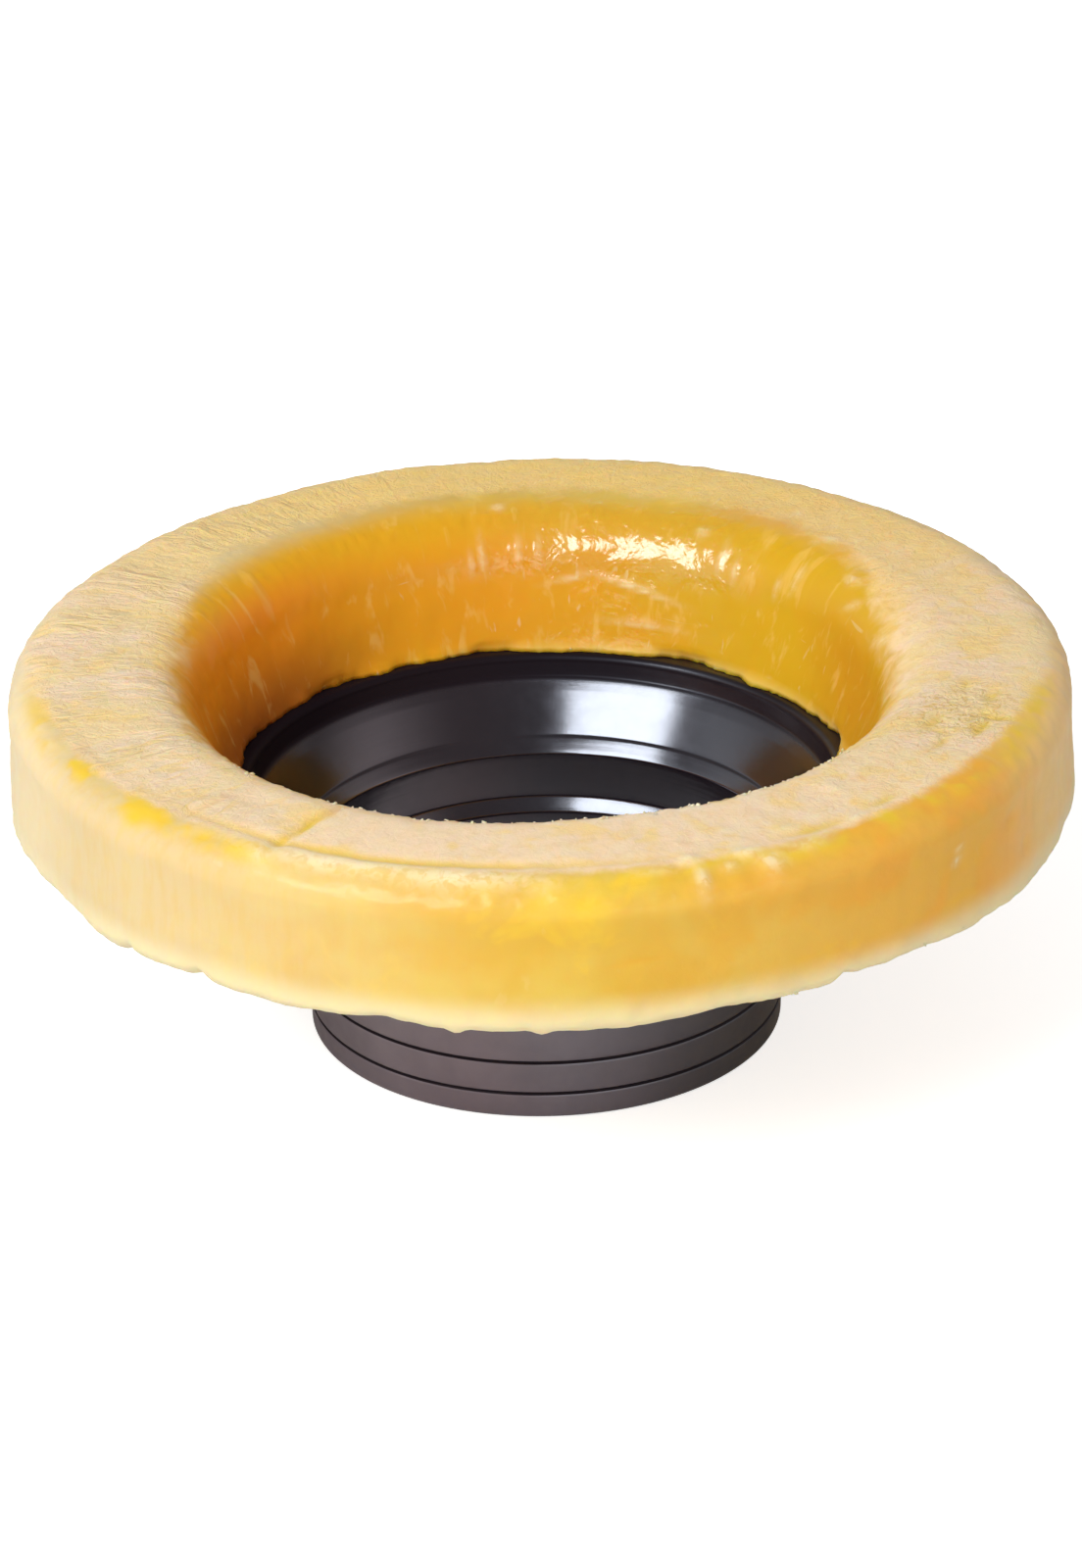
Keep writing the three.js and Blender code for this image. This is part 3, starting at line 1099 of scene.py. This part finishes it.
# Pale flecks on the top, the side and the bore's lip, partly painted glints on the skin's wrinkles.
FLECKS = toned(
    Share.CRUMB_AND_GLINT,
    (-67, 59.0, 51.9, (1, 0.7, 3), (0, 0.2), 0.6),
    (-60.1, 61.8, 51.9, (1.3, 0.9, 3), (0, 0.3), 0.8),
    (-55.5, 60.8, 51.9, (1.8, 0.6, 3), (0, 0.25), 0.7),
    (-52.3, 64.3, 51.6, (1.4, 0.8, 3), (0, 0.3), 0.7),
    (-48.8, 56.5, 51.9, (0.9, 1.6, 3), (0, 0.25), 0.6),
    (-41.7, 70.0, 43.4, (0.9, 2, 0.6), (0.25, 0), 0.7),
    (-41.3, 70.0, 45.1, (0.7, 2, 0.5), (0.2, 0), 0.6),
    (10.5, 46.0, 49.4, (1.9, 1.2, 0.7), (-0.1, 0.15), 0.7, -0.6),
    (25, 46.2, 49.6, (1.5, 1.2, 0.7), (-0.1, 0.15), 0.6, -0.5),
    (30, 49.0, 50.8, (1.4, 0.7, 3), (0, 0.25), 0.7),
    (41.9, 53.6, 51.0, (1.2, 0.9, 3), (0, 0.2), 0.6),
    (62, 48.5, 50.2, (0.9, 0.6, 2), (0, 0.15), 0.5),
    (96, 50.5, 51.0, (0.8, 0.6, 2), (0, 0.15), 0.7),
)

# Shallow streaks in the bore, whose pale tints are painted glints of the light on the skin's wrinkles.
BORE_MARKS = toned(
    Share.CRUMB_AND_GLINT,
    (41, 46.5, 48.6, (0.5, 2.5, 1.6), (-0.12, 0), 0.6),
    (44.5, 45.5, 46.8, (0.45, 2.5, 1.2), (-0.12, 0), 0.5),
    (54, 46.0, 47.0, (0.45, 2.5, 1.4), (-0.12, 0), 0.5),
    (57, 46.0, 48.6, (0.5, 2.5, 1.8), (-0.15, 0), 0.6),
    (70.5, 42.0, 38.3, (5, 2, 0.4), (-0.1, 0), 0.5, 0.02),
    (72.5, 44.0, 42.9, (5.4, 2, 0.42), (-0.15, 0), 0.75, 0.21),
    (84, 44.5, 43.5, (3, 2, 0.38), (-0.12, 0), 0.55, -0.21),
    (89.8, 45.5, 47.6, (0.42, 2.5, 1.2), (-0.12, 0), 0.4),
    (93.2, 45.5, 47.0, (0.42, 2.5, 1.5), (-0.12, 0), 0.5),
    (99.6, 45.5, 47.1, (0.45, 2.5, 1.9), (-0.15, 0), 0.6),
    (101.6, 45.0, 46.0, (0.4, 2.5, 1.3), (-0.12, 0), 0.5),
)


@dataclass
class WaxRing:
    """The wax ring: bore, lip, flat top, soft corner, side and underside, gripping the flange.

    The crest and the upper edge are places in from the lip's centre or the side, and down from the
    top. A reach is how far the edge that it names shows in full, and where it ends.
    """

    horn: Horn
    flats: int = 640
    step: float = 0.6 * MM
    fine_step: float = 0.42 * MM
    hidden_step: float = 1.6 * MM
    grip: float = 0.08 * MM
    grip_clearance: float = 0.3 * MM
    under_flange: float = 0.9 * MM
    bare_flange: float = 0.5 * MM
    width: float = 29.6 * MM
    thickness: float = 19.5 * MM
    lip_setback: float = 13.6 * MM
    lip_radius: float = 10.0 * MM
    corner: Point = (5.6 * MM, 4.5 * MM)
    side_draft: float = 0.4 * MM
    belly: float = 4.0 * MM
    base_edge: float = 2.0 * MM
    crest: Point = (4.5 * MM, 1.1 * MM)
    crest_reach: Point = (0.8 * MM, 3.2 * MM)
    upper_edge: Point = (2.6 * MM, 1.6 * MM)
    upper_edge_reach: Point = (1.2 * MM, 3.8 * MM)
    hem_reach: Point = (0.8 * MM, 6.0 * MM)
    foot_reach: Point = (0.0, 1.8 * MM)
    swell: float = 0.40 * MM
    lumps: float = 0.16 * MM
    crown: float = 0.5 * MM
    fray: float = 0.55 * MM
    crumb_size: Point = (0.10 * MM, 0.42 * MM)
    crumb_tint: float = 0.8
    lip_crumbs: float = 2.2e5
    lip_crumbs_front: Point = (-40.0 * MM, -20.0 * MM)
    foot_crumbs: float = 0.8e5
    hem_crumbs: float = 1.0e4
    seed: int = 11
    touches: tuple[Touch, ...] = LOWER_EDGE + UPPER_EDGE + CREASES + DENTS + FLECKS + BORE_MARKS
    finish: WaxFinish = field(default_factory=WaxFinish)

    def __post_init__(self) -> None:
        """Works out the heights and radii that follow from the horn's."""
        self.roof = self.horn.flange_top + self.grip
        self.underside = self.horn.underside - self.grip_clearance - self.under_flange
        self.top = self.underside + self.thickness
        self.foot_radius = self.horn.mouth + self.bare_flange
        self.radius = self.foot_radius + self.width
        self.lip_centre = (self.foot_radius + self.lip_setback, self.top - self.lip_radius)

    def outline(self) -> Outline:
        """Draws the outline: up the bore, over the top, down the side and round the groove.

        Returns:
            The outline.
        """
        floor = self.horn.underside - self.grip
        groove = self.horn.flange_radius + self.grip
        under_lip = self.horn.neck + self.grip
        across, up = self.lip_setback, self.lip_centre[1] - self.roof
        rise = math.degrees(math.atan2(up, across) + math.asin(self.lip_radius / math.hypot(across, up)))
        corner_centre = (self.radius - self.side_draft - self.corner[0], self.top - self.corner[1])
        base_centre = (self.radius - self.base_edge, self.underside + self.base_edge)
        drawn = Outline()
        drawn.line((self.foot_radius, self.roof), self.step)
        drawn.arc(self.lip_centre, (self.lip_radius, self.lip_radius), (90 + rise, 90), self.step)
        drawn.line((corner_centre[0] - 2 * MM, self.top), self.step)
        drawn.line((corner_centre[0], self.top), self.fine_step)
        drawn.arc(corner_centre, self.corner, (90, 0), self.fine_step)
        drawn.line((self.radius, base_centre[1] + self.belly), self.step)
        drawn.line((self.radius, base_centre[1]), self.step)
        drawn.arc(base_centre, (self.base_edge, self.base_edge), (0, -90), self.step)
        for end, coarser in (((under_lip, self.underside), 1), ((under_lip, floor), 1), ((groove, floor), 2),
                             ((groove, self.roof), 1), ((self.foot_radius, self.roof), 2)):
            drawn.line(end, self.hidden_step * coarser)
        drawn.points.pop()
        return drawn

    def give(self, radius: float, height: float) -> float:
        """Returns how far the surface may swell: not at all where it grips the horn."""
        flange = self.horn.flange_radius
        return max(smooth_step(self.roof, self.roof + 3 * MM, height),
                   smooth_step(flange + 0.5 * MM, flange + 5 * MM, radius))

    def foot(self, radius: float, height: float) -> float:
        """Returns how near the thin foot on the flange this is."""
        return near((radius, height), (self.foot_radius, self.roof), *self.foot_reach)

    def raw(self, radius: float, height: float) -> float:
        """Returns how near the foot this is, on the bore's wall."""
        return self.foot(radius, height) if height > self.roof + 0.01 * self.grip else 0.0

    def hem(self, radius: float, height: float) -> float:
        """Returns how near the lower outer edge this is."""
        return near((radius, height), (self.radius, self.underside), *self.hem_reach)

    def lip(self, radius: float, height: float) -> float:
        """Returns how near the crest of the bore's lip this is."""
        crest = (self.lip_centre[0] - self.crest[0], self.top - self.crest[1])
        return near((radius, height), crest, *self.crest_reach)

    def edge(self, radius: float, height: float) -> float:
        """Returns how near the round of the upper outer edge this is."""
        middle = (self.radius - self.upper_edge[0], self.top - self.upper_edge[1])
        return near((radius, height), middle, *self.upper_edge_reach)

    def crowned(self, radius: float, height: float) -> float:
        """Returns how much the surface belongs to the top, which is crowned."""
        return smooth_step(self.top - 8 * MM, self.top - 1 * MM, height)

    def in_bore(self, radius: float, height: float) -> float:
        """Returns how far inside the bore this is."""
        inside = 1.0 - smooth_step(self.lip_centre[0] - 5 * MM, self.lip_centre[0], radius)
        return inside if height > self.horn.flange_top else 0.0

    def bloom(self, radius: float, height: float) -> float:
        """Works out how much a point of the outline belongs to the pale top.

        Args:
            radius: the point's radius.
            height: its height.

        Returns:
            A share from 0 to 1.
        """
        inner = smooth_step(self.lip_centre[0] - 2.5 * MM, self.lip_centre[0] + 1.5 * MM, radius)
        outer = 1.0 - smooth_step(self.radius - 6.5 * MM, self.radius - 4 * MM, radius)
        high = smooth_step(self.top - 4.5 * MM, self.top - 1.0 * MM, height)
        return inner * outer * high

    def build(self) -> bpy.types.Object:
        """Builds the wax ring.

        Returns:
            The finished piece.
        """
        shares = {Share.GIVE: self.give, Share.FOOT: self.foot, Share.HEM: self.hem, Share.LIP: self.lip,
                  Share.CROWN: self.crowned, Share.EDGE: self.edge, Share.RAW: self.raw,
                  Share.BLOOM: self.bloom, Share.BORE: self.in_bore}
        tree = SpinTree("spin_wax", self.flats, shares)
        self.soften(tree)
        self.crumble(tree)
        tree.finish(tree.skin, self.finish.build())
        piece = tree.run(self.outline().mesh("wax_outline", shares), "wax_ring_soft")
        self.mark(piece.data)
        dress(piece, "wax_ring")
        return piece

    def soften(self, tree: SpinTree) -> None:
        """Swells the wax, crowns its top, and frays its lip, its foot and its lower edge.

        Args:
            tree: the tree that has spun the ring.
        """
        seed = tree.named_input("Seed", "NodeSocketInt", self.seed)
        swell, lumps, crown, fray = (
            tree.named_input(name.title(), "NodeSocketFloat", getattr(self, name))
            for name in ("swell", "lumps", "crown", "fray"))
        broad = tree.swing(tree.where, 0.035, 1.0, seed, swell)
        small = tree.swing(tree.where, 0.22, 2.0, tree.plus(seed, 3.0), lumps)
        swollen = tree.times(tree.plus(broad, small), tree.attribute(Share.GIVE))
        crowned = tree.times(crown, tree.attribute(Share.CROWN))
        rough = tree.swing(tree.where, 0.75, 3.0, tree.plus(seed, 4.0), fray)
        crest = tree.times(tree.greatest(rough, 0.0), tree.attribute(Share.LIP))
        grain = tree.swing(tree.where, 0.45, 3.0, tree.plus(seed, 6.0), lumps)
        puckered = tree.plus(tree.attribute(Share.BLOOM), tree.times(tree.attribute(Share.EDGE), 1.6))
        pucker = tree.times(grain, puckered)
        tree.move(tree.normal, tree.plus(tree.plus(swollen, crowned), tree.plus(crest, pucker)))
        outward = tree.vector("NORMALIZE", tree.vector("MULTIPLY", tree.position, (1.0, 1.0, 0.0)))
        foot = tree.swing(tree.where, 0.13, 3.0, tree.plus(seed, 5.0), tree.times(fray, 4.0))
        tree.move(outward, tree.times(foot, tree.attribute(Share.FOOT)))
        ragged = tree.swing(tree.where, 0.16, 4.0, tree.plus(seed, 7.0), fray)
        tree.move(tree.normal, tree.times(tree.attribute(Share.HEM), ragged))

    def crumble(self, tree: SpinTree) -> None:
        """Scatters crumbs of wax along the foot, the front of the lip and the lower edge.

        Args:
            tree: the tree that has softened the ring.
        """
        seed = tree.named_input("Crumb Seed", "NodeSocketInt", self.seed)
        north = tree.add("ShaderNodeSeparateXYZ", {0: tree.position}).outputs["Y"]
        to_front = tree.band(north, *self.lip_crumbs_front, 1.0, 0.0)
        on_lip = tree.times(tree.attribute(Share.LIP), to_front, self.lip_crumbs)
        on_foot = tree.times(tree.attribute(Share.RAW), self.foot_crumbs)
        on_hem = tree.times(tree.attribute(Share.HEM), self.hem_crumbs)
        density = tree.plus(on_lip, tree.plus(on_foot, on_hem))
        spread = tree.add("GeometryNodeDistributePointsOnFaces",
                          {"Mesh": tree.skin, "Density": density, "Seed": seed})
        ball = tree.add("GeometryNodeMeshIcoSphere", {"Radius": 1.0, "Subdivisions": 1}).outputs[0]
        lump = tree.scaled(tree.normal, tree.swing(tree.position, 1.1, 2.0, seed, 0.9))
        rough = tree.add("GeometryNodeSetPosition", {"Geometry": ball, "Offset": lump}).outputs[0]
        crumb = tree.add("GeometryNodeStoreNamedAttribute",
                         {"Geometry": rough, "Name": Share.CRUMB_AND_GLINT.value, "Value": self.crumb_tint})
        turn, size = (
            tree.add("FunctionNodeRandomValue", {0: (low,) * 3, 1: (high,) * 3, 8: number},
                     data_type="FLOAT_VECTOR").outputs[0]
            for number, (low, high) in enumerate(((0.0, math.tau), self.crumb_size), 1))
        bits = tree.add("GeometryNodeInstanceOnPoints", {
            "Points": spread.outputs["Points"], "Instance": crumb.outputs[0],
            "Rotation": turn, "Scale": size})
        joined = tree.add("GeometryNodeJoinGeometry")
        for part in (bits.outputs[0], tree.skin):
            tree.feed(joined.inputs[0], part)
        tree.skin = joined.outputs[0]

    def mark(self, mesh: bpy.types.Mesh) -> None:
        """Presses the listed marks into the wax.

        Args:
            mesh: the finished ring.
        """
        points = np.empty(len(mesh.vertices) * 3)
        mesh.vertices.foreach_get("co", points)
        points = points.reshape(-1, 3) / MM
        tones = {}
        for share in (Share.CRUMB_AND_GLINT, Share.YOLK, Share.SHADE):
            tones[share] = np.zeros(len(points), np.float32)
            layer = mesh.attributes.get(share.value)
            if layer:
                layer.data.foreach_get("value", tones[share])
        start = points.copy()
        outward = start[:, :2] / np.hypot(start[:, 0], start[:, 1])[:, None]
        for touch in self.touches:
            weight = touch.weight(start)
            points[:, :2] += outward * (weight * touch.push[0])[:, None]
            points[:, 2] += weight * touch.push[1]
            # The pale tints of some marks are painted highlights and glints.
            tones[touch.tone] = np.maximum(tones[touch.tone], (weight * touch.tint).astype(np.float32))
        mesh.vertices.foreach_set("co", (points * MM).ravel())
        for share, tone in tones.items():
            layer = mesh.attributes.get(share.value) or mesh.attributes.new(share.value, "FLOAT", "POINT")
            layer.data.foreach_set("value", tone)
        mesh.update()


@dataclass(frozen=True)
class Panel:
    """A rectangular light that faces the object: its place in degrees, its size and its power."""

    name: str
    left: float
    up: float
    away: float
    size: Point
    watts: float

    def hang(self, target: Vector) -> None:
        """Hangs the light.

        Args:
            target: the point that it faces.
        """
        light = bpy.data.lights.new(self.name, "AREA")
        light.shape = "RECTANGLE"
        light.size, light.size_y = self.size
        light.energy = self.watts
        lamp = bpy.data.objects.new(self.name, light)
        turn, tilt = math.radians(self.left), math.radians(self.up)
        towards = Vector((-math.sin(turn) * math.cos(tilt), -math.cos(turn) * math.cos(tilt),
                          math.sin(tilt)))
        lamp.location = towards * self.away + target
        lamp.rotation_euler = towards.to_track_quat("Z", "Y").to_euler()
        bpy.context.scene.collection.objects.link(lamp)


@dataclass
class Studio:
    """A plain pale floor, soft lights and the camera."""

    image: tuple[int, int] = (1104, 1600)
    focal_pixels: float = 7685.0
    sensor: float = 36.0
    distance: float = 1.0
    elevation: float = 25.9
    roll: float = 1.2
    clip: Point = (0.05, 50.0)
    target_height: float = 26.0 * MM
    target_pixel: Point = (554.0, 850.7)
    floor_radius: float = 8.0
    floor_drop: float = 0.05 * MM
    floor_grey: float = 0.80
    floor_glow: float = 0.72
    sky: float = 0.36
    dimming: float = 0.85
    panels: tuple[Panel, ...] = (
        Panel("softbox", 41.0, 42.0, 1.25, (0.84, 0.52), 12.8),
        Panel("low_panel", 52.0, 8.0, 1.3, (0.9, 0.30), 1.0),
        Panel("front_panel", -25.0, 9.0, 1.4, (1.6, 0.60), 5.3),
    )

    def build(self) -> None:
        """Builds the floor, the light and the camera."""
        target = Vector((0.0, 0.0, self.target_height))
        self.floor()
        self.world()
        for panel in self.panels:
            panel.hang(target)
        self.camera(target)

    def floor(self) -> None:
        """Lays a pale floor that shows white but keeps the object's shadow."""
        mesh = bpy.data.meshes.new("floor")
        ring = [(self.floor_radius * math.cos(angle), self.floor_radius * math.sin(angle), -self.floor_drop)
                for angle in np.linspace(0.0, math.tau, 64, endpoint=False)]
        mesh.from_pydata(ring, [], [list(range(len(ring)))])
        floor = bpy.data.objects.new("floor", mesh)
        bpy.context.scene.collection.objects.link(floor)
        tree = ShaderTree(bpy.data.materials.new("pale_floor"))
        seen = tree.add("ShaderNodeLightPath").outputs["Is Camera Ray"]
        matt = tree.add("ShaderNodeBsdfDiffuse", {"Color": (*(self.floor_grey,) * 3, 1.0)})
        glow = tree.add("ShaderNodeEmission", {"Color": (1.0, 1.0, 1.0, 1.0),
                                               "Strength": tree.times(seen, self.floor_glow)})
        both = tree.add("ShaderNodeAddShader", {0: matt.outputs[0], 1: glow.outputs[0]})
        tree.add("ShaderNodeOutputMaterial", {"Surface": both.outputs[0]})
        mesh.materials.append(tree.owner)

    def world(self) -> None:
        """Surrounds the scene with plain white, as camera and glossy rays see it, and soft light."""
        world = bpy.data.worlds.new("studio")
        bpy.context.scene.world = world
        tree = ShaderTree(world)
        path = tree.add("ShaderNodeLightPath").outputs
        generated = tree.add("ShaderNodeTexCoord").outputs["Generated"]
        _, north, up = tree.add("ShaderNodeSeparateXYZ", {0: generated}).outputs
        dark = tree.times(tree.greatest(tree.band(up, 0.35, 0.75), tree.band(north, -0.6, -0.1, 1.0, 0.0)),
                          self.dimming)
        shown = tree.mix(path["Is Camera Ray"], tree.minus(1.0, dark), 1.0)
        seen = tree.greatest(path["Is Camera Ray"], path["Is Glossy Ray"], path["Is Transmission Ray"])
        sky = tree.add("ShaderNodeBackground", {"Color": (1.0, 1.0, 1.0, 1.0),
                                                "Strength": tree.mix(seen, self.sky, shown)})
        tree.add("ShaderNodeOutputWorld", {"Surface": sky.outputs[0]})

    def camera(self, target: Vector) -> None:
        """Sets the camera at the photograph's angle, framing and slight roll.

        Args:
            target: the point that lies at the target pixel.
        """
        data = bpy.data.cameras.new("camera")
        data.sensor_width = self.sensor
        data.lens = self.focal_pixels / self.image[1] * self.sensor
        data.clip_start, data.clip_end = self.clip
        camera = bpy.data.objects.new("camera", data)
        tilt = math.radians(self.elevation)
        ahead = Vector((0.0, math.cos(tilt), -math.sin(tilt)))
        looking = ahead.to_track_quat("-Z", "Y").to_matrix()
        rolled = looking @ Matrix.Rotation(math.radians(-self.roll), 3, "Z")
        across, below = (pixel - side / 2 for pixel, side in zip(self.target_pixel, self.image))
        off_axis = Vector((across, -below, -self.focal_pixels)).normalized()
        aim = Vector((0.0, 0.0, -1.0)).rotation_difference(off_axis).to_matrix()
        place = target - ahead * self.distance
        camera.matrix_world = Matrix.Translation(place) @ (rolled @ aim.inverted()).to_4x4()
        bpy.context.scene.collection.objects.link(camera)
        bpy.context.scene.camera = camera


def main() -> None:
    """Builds the pieces in order, reports each, and sets the stage."""
    logging.basicConfig(level=logging.INFO, format="%(name)s: %(message)s")
    bpy.context.scene.view_settings.view_transform = "Standard"
    horn = Horn()
    for piece in (horn.build(), WaxRing(horn).build()):
        LOG.info("%s: %d faces", piece.name, len(piece.data.polygons))
    Studio().build()


if __name__ == "__main__":
    main()
